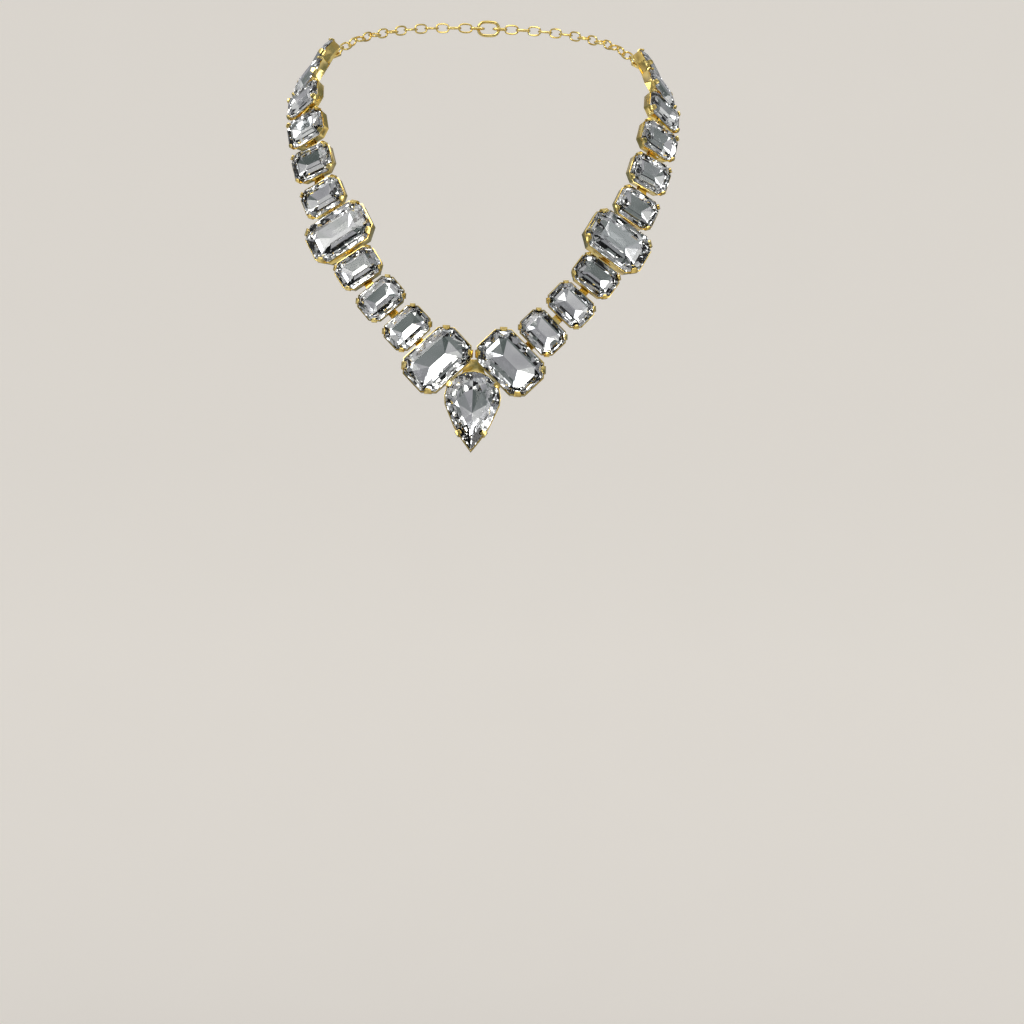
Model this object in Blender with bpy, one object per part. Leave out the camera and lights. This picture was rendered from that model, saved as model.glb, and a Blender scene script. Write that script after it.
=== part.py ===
# Bib necklace: foiled octagon stones in claw settings, a pear drop in the V, chains and a clasp
import math

import bmesh
import bpy
import numpy as np
from mathutils import Matrix, Vector

# Big octagon stone, at places 1 and 5 of each side
BIG_LENGTH = 0.0270
BIG_WIDTH = 0.0185
BIG_CUT = 0.0043
BIG_CROWN = 0.0024
BIG_PAVILION = 0.0040
BIG_WALL = 0.0044
BIG_CLAW_WIDTH = 0.0030
BIG_CLAW_TIP = 0.0025
BIG_CLAW_REACH = 0.0020

# Medium octagon stone, at every other place
MEDIUM_LENGTH = 0.0180
MEDIUM_WIDTH = 0.0130
MEDIUM_CUT = 0.0030
MEDIUM_CROWN = 0.0018
MEDIUM_PAVILION = 0.0030
MEDIUM_WALL = 0.0034
MEDIUM_CLAW_WIDTH = 0.0022
MEDIUM_CLAW_TIP = 0.0018
MEDIUM_CLAW_REACH = 0.0015

# Pear stone, which points down in the middle
PEAR_LENGTH = 0.0322
PEAR_WIDTH = 0.0218
PEAR_LOW_SHARE = 0.30
PEAR_LOW_BULGE = 0.0006
PEAR_HIGH_SHARE = 0.62
PEAR_HIGH_BULGE = 0.0009
PEAR_ARC_STEPS = 14
PEAR_CROWN = 0.0024
PEAR_PAVILION = 0.0040
PEAR_CLAW_WIDTH = 0.0024
PEAR_CLAW_TIP = 0.0019
PEAR_CLAW_REACH = 0.0018

BIG = {
    "length": BIG_LENGTH,
    "width": BIG_WIDTH,
    "cut": BIG_CUT,
    "crown": BIG_CROWN,
    "pavilion": BIG_PAVILION,
    "wall": BIG_WALL,
    "claw": (BIG_CLAW_WIDTH, BIG_CLAW_TIP, BIG_CLAW_REACH),
}
MEDIUM = {
    "length": MEDIUM_LENGTH,
    "width": MEDIUM_WIDTH,
    "cut": MEDIUM_CUT,
    "crown": MEDIUM_CROWN,
    "pavilion": MEDIUM_PAVILION,
    "wall": MEDIUM_WALL,
    "claw": (MEDIUM_CLAW_WIDTH, MEDIUM_CLAW_TIP, MEDIUM_CLAW_REACH),
}

# Cut of every stone: girdle, and how far the table and the first step stand in from the outline
GIRDLE = 0.0004
TABLE_SIDE_SHARE = 0.165
TABLE_END_SHARE = 0.150
PEAR_TABLE_SHARE = 0.20
PEAR_CULET_SHARE = 0.26
STEP_INSET_SHARE = 0.20
STEP_DEPTH_SHARE = 0.64
KEEL_SHARE = 0.34

# Settings: a tapered wall round the outline, with a slanted seat under the girdle
SEAT_GAP = 0.0003
RIM_OUT = 0.00045
RIM_INNER = 0.00005
SEAT_INSET = 0.00040
SEAT_DROP = 0.00031
FOOT_OUT = -0.00005
WALL_THICKNESS = 0.0006

# Claws: one on the middle of each corner, bent over the crown
CLAW_THICKNESS = 0.0007
CLAW_GAP = 0.00035

# Tongue of each setting, folded round the rail under the window of the next setting
TONGUE_WIDTH = 0.0036
TONGUE_THICKNESS = 0.0005
TONGUE_GAP = 0.00045
TONGUE_LOW_GAP = 0.0007
TONGUE_ROOT = 0.0010
TONGUE_RISE = 0.0006
END_TONGUE_WIDTH = 0.0012
WINDOW_WIDTH = 0.0058
RAIL_HEIGHT = 0.0008

# Places along the line
STONES_A_SIDE = 11
BIG_PLACES = (1, 5)
CENTRE_GAP = 0.0025
STONE_GAP = 0.0030
BIG_STONE_GAP = 0.0022
PEAR_GAP = 0.0011

# Plate that is soldered between the two centre settings and the pear's
PLATE_THICKNESS = 0.0008
PLATE_OVERLAP = 0.0010
PLATE_FOOT_HALF = 0.0055
PLATE_RISE = 0.0016

# Chains and clasp
LINK_LENGTH = 0.0072
LINK_WIDTH = 0.0050
WIRE = 0.0011
LINK_SQUEEZE = 0.00045
END_GAP = 0.0012
CLASP_LENGTH = 0.0110
CLASP_WIDTH = 0.0080
CLASP_WIRE = 0.0018
CLASP_GAP = 0.0008
RING_STEPS = 10
CLASP_STEPS = 14
WIRE_SIDES = 5
SMOOTH_BELOW = math.radians(50)

# Line through the middles of the right side, from under the V to the nape, in metres, and the
# way the stones face there in degrees: turn away from the front and lift above the level
ROUTE = [
    # x, y, z, turn, lift
    (0.0000, -0.0710, -0.1655, 0, 12),
    (0.0272, -0.0655, -0.1381, 6, 12),
    (0.0480, -0.0600, -0.1142, 14, 13),
    (0.0562, -0.0534, -0.0999, 22, 14),
    (0.0639, -0.0468, -0.0852, 29, 15),
    (0.0725, -0.0363, -0.0563, 40, 17),
    (0.0745, -0.0270, -0.0433, 52, 20),
    (0.0693, -0.0030, -0.0236, 82, 27),
    (0.0622, 0.0100, -0.0142, 97, 24),
    (0.0500, 0.0290, -0.0070, 119, 14),
    (0.0300, 0.0470, -0.0020, 150, 5),
    (0.0000, 0.0570, 0.0000, 180, 0),
]
SAMPLES_A_SPAN = 40
PATH_STEP = 0.0003


def clear_scene():
    for thing in list(bpy.data.objects):
        bpy.data.objects.remove(thing)


def material(name, colour, roughness, metallic):
    made = bpy.data.materials.new(name)
    made.use_nodes = True
    shader = made.node_tree.nodes["Principled BSDF"]
    shader.inputs["Base Color"].default_value = (*colour, 1)
    shader.inputs["Roughness"].default_value = roughness
    shader.inputs["Metallic"].default_value = metallic
    made.diffuse_color = (*colour, 1)
    return made


def add_object(name, mesh_maker, surface, place=None):
    """A closed body from a bmesh, with its faces turned outwards."""
    bmesh.ops.recalc_face_normals(mesh_maker, faces=mesh_maker.faces)
    mesh = bpy.data.meshes.new(name)
    mesh_maker.to_mesh(mesh)
    mesh_maker.free()
    mesh.materials.append(surface)
    made = bpy.data.objects.new(name, mesh)
    bpy.context.scene.collection.objects.link(made)
    if place is not None:
        made.matrix_world = place
    return made


# The line that the stones and the chains follow


def spline_bends(knots, values):
    """Second derivatives of the natural cubic through the values."""
    count = len(knots)
    matrix = np.eye(count)
    wanted = np.zeros_like(values)
    for i in range(1, count - 1):
        before = knots[i] - knots[i - 1]
        after = knots[i + 1] - knots[i]
        matrix[i, i - 1 : i + 2] = before, 2 * (before + after), after
        rise = (values[i + 1] - values[i]) / after - (values[i] - values[i - 1]) / before
        wanted[i] = 6 * rise
    return np.linalg.solve(matrix, wanted)


def sample_route():
    """Rows of x, y, z, turn and lift along the whole right half, and the length up to each."""
    nape = ROUTE[-1]
    past_nape = [(-x, y, z, 2 * nape[3] - turn, lift) for x, y, z, turn, lift in ROUTE[-2:-4:-1]]
    rows = np.array(ROUTE + past_nape, float)
    knots = np.concatenate([[0], np.cumsum(np.linalg.norm(np.diff(rows[:, :3], axis=0), axis=1))])
    bends = spline_bends(knots, rows)
    samples = []
    for i in range(len(ROUTE) - 1):
        span = knots[i + 1] - knots[i]
        for share in np.arange(SAMPLES_A_SPAN) / SAMPLES_A_SPAN:
            rest = 1 - share
            curved = (rest**3 - rest) * bends[i] + (share**3 - share) * bends[i + 1]
            samples.append(rest * rows[i] + share * rows[i + 1] + curved * span**2 / 6)
    samples.append(rows[len(ROUTE) - 1])
    samples = np.array(samples)
    steps = np.linalg.norm(np.diff(samples[:, :3], axis=0), axis=1)
    return samples, np.concatenate([[0], np.cumsum(steps)])


def frame(origin, path, facing):
    """A placing matrix: X along the stone, Y along the line, Z the way it faces."""
    facing = (facing - facing.dot(path) * path).normalized()
    placed = Matrix((path.cross(facing), path, facing)).transposed().to_4x4()
    placed.translation = origin
    return placed


def place_at(route, distance, side):
    """The frame on the line at this distance from its start, side 1 to the right and -1 to the left."""
    samples, lengths = route
    here = [np.interp(distance, lengths, column) for column in samples.T]
    low = max(distance - PATH_STEP, 0)
    high = min(distance + PATH_STEP, lengths[-1])
    ends = [[np.interp(end, lengths, samples[:, axis]) for axis in range(3)] for end in (low, high)]
    path = (Vector(ends[1]) - Vector(ends[0])).normalized()
    turn, lift = math.radians(here[3]), math.radians(here[4])
    level = math.cos(lift)
    facing = Vector((math.sin(turn) * level, -math.cos(turn) * level, math.sin(lift)))
    flip = Vector((side, 1, 1))
    return frame(Vector(here[:3]) * flip, path * flip, facing * flip)


# Outlines, as points going round anticlockwise seen from the front


def octagon(length, width, cut):
    """Edges in order: end, corner, far long side, corner, end, corner, near long side, corner."""
    x, y = length / 2, width / 2
    return [
        Vector((x, cut - y)),
        Vector((x, y - cut)),
        Vector((x - cut, y)),
        Vector((cut - x, y)),
        Vector((-x, y - cut)),
        Vector((-x, cut - y)),
        Vector((cut - x, -y)),
        Vector((x - cut, -y)),
    ]


def pear():
    """The tip first, then up the right side, round the top and down the left side."""
    radius = PEAR_WIDTH / 2
    tip = Vector((0, radius - PEAR_LENGTH))
    start = math.radians(-90) + math.acos(radius / -tip.y)
    sweep = math.radians(180) - 2 * start
    arc = [
        radius * Vector((math.cos(angle), math.sin(angle)))
        for angle in (start + sweep * i / PEAR_ARC_STEPS for i in range(PEAR_ARC_STEPS + 1))
    ]
    out = arc[0].normalized()
    low = tip.lerp(arc[0], PEAR_LOW_SHARE) + PEAR_LOW_BULGE * out
    high = tip.lerp(arc[0], PEAR_HIGH_SHARE) + PEAR_HIGH_BULGE * out
    left = [Vector((-point.x, point.y)) for point in (high, low)]
    return [tip, low, high, *arc, *left]


def edge_frame(outline, edge):
    """Middle, direction and outward normal of an edge."""
    first, second = outline[edge], outline[(edge + 1) % len(outline)]
    direction = (second - first).normalized()
    return (first + second) / 2, direction, Vector((direction.y, -direction.x))


def grown(outline, by):
    """The outline with each edge moved outwards."""
    points = []
    for i in range(len(outline)):
        _, _, out_before = edge_frame(outline, i - 1)
        _, _, out_after = edge_frame(outline, i)
        shift = by / (1 + out_before.dot(out_after))
        points.append(outline[i] + shift * (out_before + out_after))
    return points


def split(outline, middles):
    """The outline with two more points on each edge named in middles, that far apart."""
    points = []
    for edge, point in enumerate(outline):
        points.append(point)
        if edge in middles:
            middle, direction, _ = edge_frame(outline, edge)
            points.append(middle - direction * middles[edge] / 2)
            points.append(middle + direction * middles[edge] / 2)
    return points


# Stones, with the foot of the girdle at zero


def loop_of(bm, outline, z):
    return [bm.verts.new((*point, z)) for point in outline]


def octagon_stone(kind):
    bm = bmesh.new()
    outline = octagon(kind["length"], kind["width"], kind["cut"])
    x = kind["length"] * (0.5 - TABLE_END_SHARE)
    y = kind["width"] * (0.5 - TABLE_SIDE_SHARE)
    corners = [Vector((x, -y)), Vector((x, y)), Vector((-x, y)), Vector((-x, -y))]
    table = loop_of(bm, corners, GIRDLE + kind["crown"])
    top = loop_of(bm, outline, GIRDLE)
    bottom = loop_of(bm, outline, 0)
    step_inset = kind["width"] * STEP_INSET_SHARE
    step = loop_of(bm, grown(outline, -step_inset), -kind["pavilion"] * STEP_DEPTH_SHARE)
    keel_half = kind["length"] * KEEL_SHARE / 2
    keel = [bm.verts.new((end, 0, -kind["pavilion"])) for end in (keel_half, -keel_half)]
    bm.faces.new(table)
    keel_at = (0, 0, 0, 1, 1, 1, 1, 0)
    table_at = (0, 1, 1, 2, 2, 3, 3, 0)
    for i in range(8):
        j = (i + 1) % 8
        crown = [top[i], top[j], table[table_at[j]], table[table_at[i]]]
        lower = [step[j], step[i], keel[keel_at[i]], keel[keel_at[j]]]
        bm.faces.new(list(dict.fromkeys(crown)))
        bm.faces.new([bottom[i], bottom[j], top[j], top[i]])
        bm.faces.new([step[i], step[j], bottom[j], bottom[i]])
        bm.faces.new(list(dict.fromkeys(lower)))
    return bm


def pear_stone():
    bm = bmesh.new()
    outline = pear()
    inner = grown(outline, -PEAR_WIDTH * PEAR_TABLE_SHARE)[::2]
    table = loop_of(bm, inner, GIRDLE + PEAR_CROWN)
    top = loop_of(bm, outline, GIRDLE)
    bottom = loop_of(bm, outline, 0)
    culet = bm.verts.new((0, -PEAR_WIDTH * PEAR_CULET_SHARE, -PEAR_PAVILION))
    bm.faces.new(table)
    count = len(outline)
    for i in range(count):
        j = (i + 1) % count
        near = table[((i + 1) // 2) % len(table)]
        bm.faces.new([top[i], top[j], near])
        bm.faces.new([bottom[i], bottom[j], top[j], top[i]])
        bm.faces.new([bottom[j], bottom[i], culet])
        if i % 2:
            bm.faces.new([top[i], near, table[i // 2]])
    return bm


# Settings, in the frame of their stone


def wall_profile(wall):
    """Steps in from the rim down the outer face and up the inner face, as offset and height."""
    top = -SEAT_GAP
    foot = top - wall
    rail_top = foot + RAIL_HEIGHT
    root_foot = rail_top + TONGUE_RISE
    window_top = root_foot + TONGUE_ROOT

    def outer(z):
        return RIM_OUT + (FOOT_OUT - RIM_OUT) * (top - z) / wall

    inner_foot = FOOT_OUT - WALL_THICKNESS
    seat_foot = top - SEAT_DROP

    def inner(z):
        return -SEAT_INSET + (inner_foot + SEAT_INSET) * (seat_foot - z) / (seat_foot - foot)

    levels = (window_top, root_foot, rail_top, foot)
    down = [(outer(z), z) for z in (top, *levels)]
    up = [(inner(z), z) for z in reversed(levels)]
    return down + up + [(-SEAT_INSET, seat_foot), (RIM_INNER, top)]


# Rows of the profile that the windows, claws and tongues join
RIM_ROW, WINDOW_ROW, ROOT_ROW, RAIL_ROW, FOOT_ROW = 0, 1, 2, 3, 4
INNER_FOOT_ROW, INNER_RAIL_ROW, INNER_ROOT_ROW, INNER_WINDOW_ROW = 5, 6, 7, 8


class Setting:
    """The wall of one setting as a ring of faces, to which claws and a tongue are added."""

    def __init__(self, outline, wall, middles):
        self.bm = bmesh.new()
        self.outline = outline
        self.wall = wall
        self.middles = middles
        self.rows = [
            loop_of(self.bm, split(grown(outline, out), middles), z)
            for out, z in wall_profile(wall)
        ]
        self.faces = {}
        count = len(self.rows[0])
        for row, loop in enumerate(self.rows):
            following = self.rows[(row + 1) % len(self.rows)]
            for i in range(count):
                j = (i + 1) % count
                corners = [loop[i], loop[j], following[j], following[i]]
                self.faces[row, i] = self.bm.faces.new(corners)

    def middle_index(self, edge):
        """Where the middle part of an edge starts in every row."""
        return edge + 1 + 2 * sum(other < edge for other in self.middles)

    def drop(self, row, index):
        self.bm.faces.remove(self.faces.pop((row, index)))

    def pair(self, row, index):
        return self.rows[row][index], self.rows[row][index + 1]

    def point(self, edge, out, along, z):
        middle, direction, outwards = edge_frame(self.outline, edge)
        return self.bm.verts.new((*(middle + direction * along + outwards * out), z))

    def add_window(self, edge):
        index = self.middle_index(edge)
        for row in (WINDOW_ROW, ROOT_ROW, INNER_RAIL_ROW, INNER_ROOT_ROW):
            self.drop(row, index)
        rows = (WINDOW_ROW, ROOT_ROW, RAIL_ROW, INNER_RAIL_ROW, INNER_ROOT_ROW, INNER_WINDOW_ROW)
        near, far = zip(*(self.pair(row, index) for row in rows))
        self.bm.faces.new(near)
        self.bm.faces.new(far[::-1])
        self.bm.faces.new([near[0], far[0], far[5], near[5]])
        self.bm.faces.new([near[2], far[2], far[3], near[3]])

    def add_claw(self, edge, claw, rise, run):
        """A claw that goes up past the girdle and then lies over a facet of this rise and run."""
        width, tip_width, reach = claw
        index = self.middle_index(edge)
        self.drop(RIM_ROW, index)
        low = self.pair(WINDOW_ROW, index)
        rim = self.pair(RIM_ROW, index)
        slope = Vector((-run, rise)).normalized()
        away = Vector((slope.y, -slope.x))
        bend_in = Vector((RIM_OUT, GIRDLE + (CLAW_GAP - RIM_OUT * away.x) / away.y))
        bend_out = bend_in + (away + Vector((1, 0))).normalized() * CLAW_THICKNESS
        tip_in = bend_in + slope * reach
        tip_out = tip_in + away * CLAW_THICKNESS
        half, tip_half = width / 2, tip_width / 2

        def pair(spot, side):
            return [self.point(edge, spot.x, along, spot.y) for along in (-side, side)]

        heel = pair(Vector((RIM_OUT + CLAW_THICKNESS, -SEAT_GAP)), half)
        outer = [low, heel, pair(bend_out, half), pair(tip_out, tip_half)]
        inner = [None, rim, pair(bend_in, half), pair(tip_in, tip_half)]
        self.bm.faces.new([low[0], low[1], heel[1], heel[0]])
        self.bm.faces.new([low[0], heel[0], rim[0]])
        self.bm.faces.new([low[1], rim[1], heel[1]])
        for k in (1, 2):
            self.tube(outer[k], inner[k], outer[k + 1], inner[k + 1])
        self.bm.faces.new([*outer[3], *inner[3][::-1]])

    def tube(self, outer, inner, next_outer, next_inner):
        """Four faces between two four-cornered sections."""
        section = [outer[0], outer[1], inner[1], inner[0]]
        following = [next_outer[0], next_outer[1], next_inner[1], next_inner[0]]
        for i in range(4):
            j = (i + 1) % 4
            self.bm.faces.new([section[i], section[j], following[j], following[i]])

    def add_tongue(self, edge, rail_place, rail, width):
        """A tongue that leaves the wall, goes over a rail of the next piece and comes back under it."""
        index = self.middle_index(edge)
        self.drop(WINDOW_ROW, index)
        self.drop(FOOT_ROW, index)
        outer, inner = [self.pair(WINDOW_ROW, index)], [self.pair(ROOT_ROW, index)]
        half = width / 2
        high, low = rail["top"] + TONGUE_GAP, rail["bottom"] - TONGUE_LOW_GAP
        near, far = rail["outside"] - TONGUE_GAP, rail["inside"] + TONGUE_GAP
        thick = TONGUE_THICKNESS
        for pairs, bends in (
            (outer, ((near, high + thick), (far + thick, high + thick), (far + thick, low - thick))),
            (inner, ((near, high), (far, high), (far, low))),
        ):
            for y, z in bends:
                spots = [rail_place @ Vector((x, y, z)) for x in (half, -half)]
                pairs.append([self.bm.verts.new(spot) for spot in spots])
        outer.append(self.pair(INNER_FOOT_ROW, index))
        inner.append(self.pair(FOOT_ROW, index))
        for k in range(len(outer) - 1):
            self.tube(outer[k], inner[k], outer[k + 1], inner[k + 1])


CORNER_EDGES = (1, 3, 5, 7)
FAR_SIDE, NEAR_SIDE = 2, 6


def octagon_setting(kind, window, rail_place, rail, tongue_width):
    outline = octagon(kind["length"], kind["width"], kind["cut"])
    middles = {edge: kind["claw"][0] for edge in CORNER_EDGES}
    middles[FAR_SIDE] = tongue_width
    if window:
        middles[NEAR_SIDE] = WINDOW_WIDTH
    setting = Setting(outline, kind["wall"], middles)
    if window:
        setting.add_window(NEAR_SIDE)
    across = (kind["length"] * TABLE_END_SHARE + kind["width"] * TABLE_SIDE_SHARE - kind["cut"])
    for edge in CORNER_EDGES:
        setting.add_claw(edge, kind["claw"], kind["crown"], across / math.sqrt(2))
    setting.add_tongue(FAR_SIDE, rail_place, rail, tongue_width)
    return setting.bm


def rail_of(kind):
    """The rail under a setting's window, in the frame of its stone."""
    profile = wall_profile(kind["wall"])
    return {
        "top": profile[RAIL_ROW][1],
        "bottom": profile[FOOT_ROW][1],
        "outside": -kind["width"] / 2 - profile[RAIL_ROW][0],
        "inside": -kind["width"] / 2 - profile[INNER_FOOT_ROW][0],
    }


PEAR_CLAW_EDGES = (1, 6, 13, 18)


def pear_setting():
    claw = (PEAR_CLAW_WIDTH, PEAR_CLAW_TIP, PEAR_CLAW_REACH)
    setting = Setting(pear(), BIG_WALL, {edge: PEAR_CLAW_WIDTH for edge in PEAR_CLAW_EDGES})
    for edge in PEAR_CLAW_EDGES:
        setting.add_claw(edge, claw, PEAR_CROWN, PEAR_WIDTH * PEAR_TABLE_SHARE)
    return setting.bm


# Chains and clasp


def link(length, width, wire, steps):
    """A closed wire ring with round ends, its length along Y and its flat side facing Z."""
    bm = bmesh.new()
    radius = (width - wire) / 2
    straight = (length - width) / 2
    loops = []
    for i in range(steps):
        angle = 2 * math.pi * (i + 0.5) / steps
        out = Vector((math.cos(angle), math.sin(angle), 0))
        middle = out * radius + Vector((0, math.copysign(straight, out.y), 0))
        loop = []
        for k in range(WIRE_SIDES):
            turn = 2 * math.pi * k / WIRE_SIDES
            spot = middle + (out * math.cos(turn) + Vector((0, 0, math.sin(turn)))) * wire / 2
            loop.append(bm.verts.new(spot))
        loops.append(loop)
    for i, loop in enumerate(loops):
        following = loops[(i + 1) % steps]
        for k in range(WIRE_SIDES):
            m = (k + 1) % WIRE_SIDES
            bm.faces.new([loop[k], loop[m], following[m], following[k]])
    return bm


def merged(name, makers, surface):
    """One object from bmeshes that lie clear of each other, each with its place."""
    whole = bmesh.new()
    for maker, place in makers:
        maker.transform(place)
        bmesh.ops.recalc_face_normals(maker, faces=maker.faces)
        piece = bpy.data.meshes.new(name)
        maker.to_mesh(piece)
        maker.free()
        whole.from_mesh(piece)
        bpy.data.meshes.remove(piece)
    return add_object(name, whole, surface)


def fuse(target, other):
    """Joins another object to the target by a Boolean union, and removes it."""
    join = target.modifiers.new("Join", "BOOLEAN")
    join.operation = "UNION"
    join.object = other
    graph = bpy.context.evaluated_depsgraph_get()
    fused = bpy.data.meshes.new_from_object(target.evaluated_get(graph))
    target.modifiers.clear()
    target.data = fused
    bpy.data.objects.remove(other)
    return target


def smooth(thing):
    thing.data.shade_smooth()
    thing.data.set_sharp_from_angle(angle=SMOOTH_BELOW)


def stone_places(route):
    """The distance of each stone along the line, from the middle of the necklace."""
    first = (BIG_LENGTH + BIG_WIDTH) / 2 - BIG_CUT + CENTRE_GAP
    distances = [first]
    for place in range(2, STONES_A_SIDE + 1):
        kinds = (kind_at(place - 1), kind_at(place))
        gap = BIG_STONE_GAP if BIG in kinds else STONE_GAP
        distances.append(distances[-1] + (kinds[0]["width"] + kinds[1]["width"]) / 2 + gap)
    return distances


def kind_at(place):
    return BIG if place in BIG_PLACES else MEDIUM


def stone_frame(route, distance, kind, side):
    """A stone's frame, raised so that the feet of all settings lie in one line."""
    raised = Matrix.Translation((0, 0, kind["wall"] - MEDIUM_WALL))
    return place_at(route, distance, side) @ raised


def first_link_distance(last_stone):
    return last_stone + MEDIUM_WIDTH / 2 + RIM_OUT + END_GAP + LINK_LENGTH / 2


def link_frame(route, distance, side, index):
    """A link's frame: every second link stands on edge, and all lie at the height of the feet."""
    sunk = Matrix.Translation((0, 0, -SEAT_GAP - MEDIUM_WALL + RAIL_HEIGHT / 2))
    on_edge = Matrix.Rotation(math.radians(90 * (index % 2)), 4, "Y")
    return place_at(route, distance, side) @ sunk @ on_edge


def first_link_rail(route, distance, side):
    """The near end of the first link, as a rail in the frame at that end, and the frame."""
    place = link_frame(route, distance, side, 0) @ Matrix.Translation((0, -LINK_LENGTH / 2, 0))
    radius = LINK_WIDTH / 2 - WIRE
    inside = WIRE + radius - math.sqrt(radius**2 - END_TONGUE_WIDTH**2 / 4)
    return place, {"top": WIRE / 2, "bottom": -WIRE / 2, "outside": 0, "inside": inside}


def pear_place(route, first):
    """The pear's frame, so far under the V that it clears both big stones by its gap."""
    place = place_at(route, 0, 1)
    path = place.to_3x3() @ Vector((0, 1, 0))
    facing = place.to_3x3() @ Vector((0, 0, 1))
    up = (Vector((0, 0, 1)) - facing.z * facing).normalized()
    up = Vector((0, up.y, up.z)).normalized()
    drop = (first - BIG_WIDTH / 2 - PEAR_WIDTH / 2 - PEAR_GAP) / path.dot(up)
    front = Vector((0, -up.z, up.y))
    raised = front * (BIG_WALL - MEDIUM_WALL)
    return frame(Vector(ROUTE[0][:3]) + up * drop + raised, up, front)


def centre_plate(place, first_middle):
    """A plate across the feet of the three centre settings, in the pear's frame."""
    across = (BIG_LENGTH + BIG_WIDTH) / 2 - BIG_CUT
    local = place.inverted() @ first_middle
    half_top = local.x - across / math.sqrt(2) + PLATE_OVERLAP
    top = local.y + PLATE_RISE
    bottom = PEAR_WIDTH / 2 - PLATE_OVERLAP * 2
    foot = -SEAT_GAP - BIG_WALL
    corners = [
        Vector((-PLATE_FOOT_HALF, bottom)),
        Vector((PLATE_FOOT_HALF, bottom)),
        Vector((half_top, top)),
        Vector((-half_top, top)),
    ]
    bm = bmesh.new()
    low = loop_of(bm, corners, foot)
    high = loop_of(bm, corners, foot + PLATE_THICKNESS)
    bm.faces.new(low)
    bm.faces.new(high)
    for i in range(4):
        j = (i + 1) % 4
        bm.faces.new([low[i], low[j], high[j], high[i]])
    return bm


def build():
    clear_scene()
    glass = material("Foiled glass", (0.80, 0.82, 0.83), 0.05, 0.3)
    gold = material("Polished gold", (0.86, 0.62, 0.24), 0.18, 1.0)
    route = sample_route()
    distances = stone_places(route)
    link_pitch = LINK_LENGTH - 2 * WIRE + LINK_SQUEEZE
    start = first_link_distance(distances[-1])
    centre = []
    for side, word in ((1, "right"), (-1, "left")):
        frames = [
            stone_frame(route, distance, kind_at(place), side)
            for place, distance in enumerate(distances, 1)
        ]
        for place, here in enumerate(frames, 1):
            kind = kind_at(place)
            add_object(f"stone_{word}_{place:02}", octagon_stone(kind), glass, here)
            if place < STONES_A_SIDE:
                rail_frame, rail = frames[place], rail_of(kind_at(place + 1))
                tongue_width = TONGUE_WIDTH
            else:
                rail_frame, rail = first_link_rail(route, start, side)
                tongue_width = END_TONGUE_WIDTH
            rail_place = here.inverted() @ rail_frame
            setting = octagon_setting(kind, place > 1, rail_place, rail, tongue_width)
            if place == 1:
                centre.append((setting, here))
            else:
                add_object(f"setting_{word}_{place:02}", setting, gold, here)
        end = route[1][-1] - CLASP_LENGTH / 2 + CLASP_WIRE + WIRE + CLASP_GAP - LINK_LENGTH / 2
        count = math.floor((end - start) / link_pitch) + 1
        pitch = (end - start) / (count - 1)
        links = [
            (
                link(LINK_LENGTH, LINK_WIDTH, WIRE, RING_STEPS),
                link_frame(route, start + i * pitch, side, i),
            )
            for i in range(count)
        ]
        chain = merged(f"chain_{word}", links[::2], gold)
        fuse(chain, merged("Other links", links[1::2], gold))
        smooth(chain)
    place = pear_place(route, distances[0])
    add_object("stone_pear", pear_stone(), glass, place)
    base = merged("setting_centre", centre, gold)
    fuse(base, merged("Pear setting", [(pear_setting(), place)], gold))
    right_middle = centre[0][1].translation
    fuse(base, merged("Plate", [(centre_plate(place, right_middle), place)], gold))
    nape = link_frame(route, route[1][-1], 1, count)
    clasp = merged("clasp", [(link(CLASP_LENGTH, CLASP_WIDTH, CLASP_WIRE, CLASP_STEPS), nape)], gold)
    smooth(clasp)


build()
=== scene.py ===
# Bib necklace: cut stones in foil, claw settings, chains and clasp, and the studio they hang in
import math

import bmesh
import bpy
from mathutils import Matrix, Vector


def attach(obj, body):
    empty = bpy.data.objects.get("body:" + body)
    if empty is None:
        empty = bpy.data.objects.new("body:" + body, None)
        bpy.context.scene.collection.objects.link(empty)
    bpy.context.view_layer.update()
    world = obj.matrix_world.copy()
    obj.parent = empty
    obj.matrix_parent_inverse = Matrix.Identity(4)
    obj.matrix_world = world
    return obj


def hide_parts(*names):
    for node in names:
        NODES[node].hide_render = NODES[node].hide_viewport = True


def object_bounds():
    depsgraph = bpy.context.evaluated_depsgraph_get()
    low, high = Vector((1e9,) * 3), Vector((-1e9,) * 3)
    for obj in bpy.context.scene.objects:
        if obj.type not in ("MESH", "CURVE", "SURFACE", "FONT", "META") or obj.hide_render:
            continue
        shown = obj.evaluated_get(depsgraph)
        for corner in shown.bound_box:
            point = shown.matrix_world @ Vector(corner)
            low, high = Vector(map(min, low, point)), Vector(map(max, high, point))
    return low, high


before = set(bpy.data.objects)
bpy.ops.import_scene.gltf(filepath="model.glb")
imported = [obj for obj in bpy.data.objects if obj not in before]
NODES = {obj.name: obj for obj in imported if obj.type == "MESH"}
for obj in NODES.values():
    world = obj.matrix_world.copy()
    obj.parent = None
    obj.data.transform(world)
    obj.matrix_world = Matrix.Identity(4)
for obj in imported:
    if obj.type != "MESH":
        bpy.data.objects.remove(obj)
CAD_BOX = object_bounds()

bl_info = {
    "name": "Bib necklace",
    "version": (1, 0, 0),
    "blender": (4, 5, 0),
    "location": "View3D > Sidebar > Necklace",
    "description": "Dresses a bib necklace of claw set stones and lights it",
    "category": "Add Mesh",
}

STONES = sorted(name for name in NODES if name.startswith("stone_"))
SETTINGS = sorted(name for name in NODES if name.startswith("setting_"))
CHAINS = sorted(name for name in NODES if name.startswith("chain_"))
CLASP = "clasp"
PEAR = "stone_pear"

# Slack in metres, and the least Z of a level face's normal
TINY = 1e-6
LEVEL = 0.9
FLAT_ANGLE = math.radians(0.5)
SMOOTH_ANGLE = math.radians(38)


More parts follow.
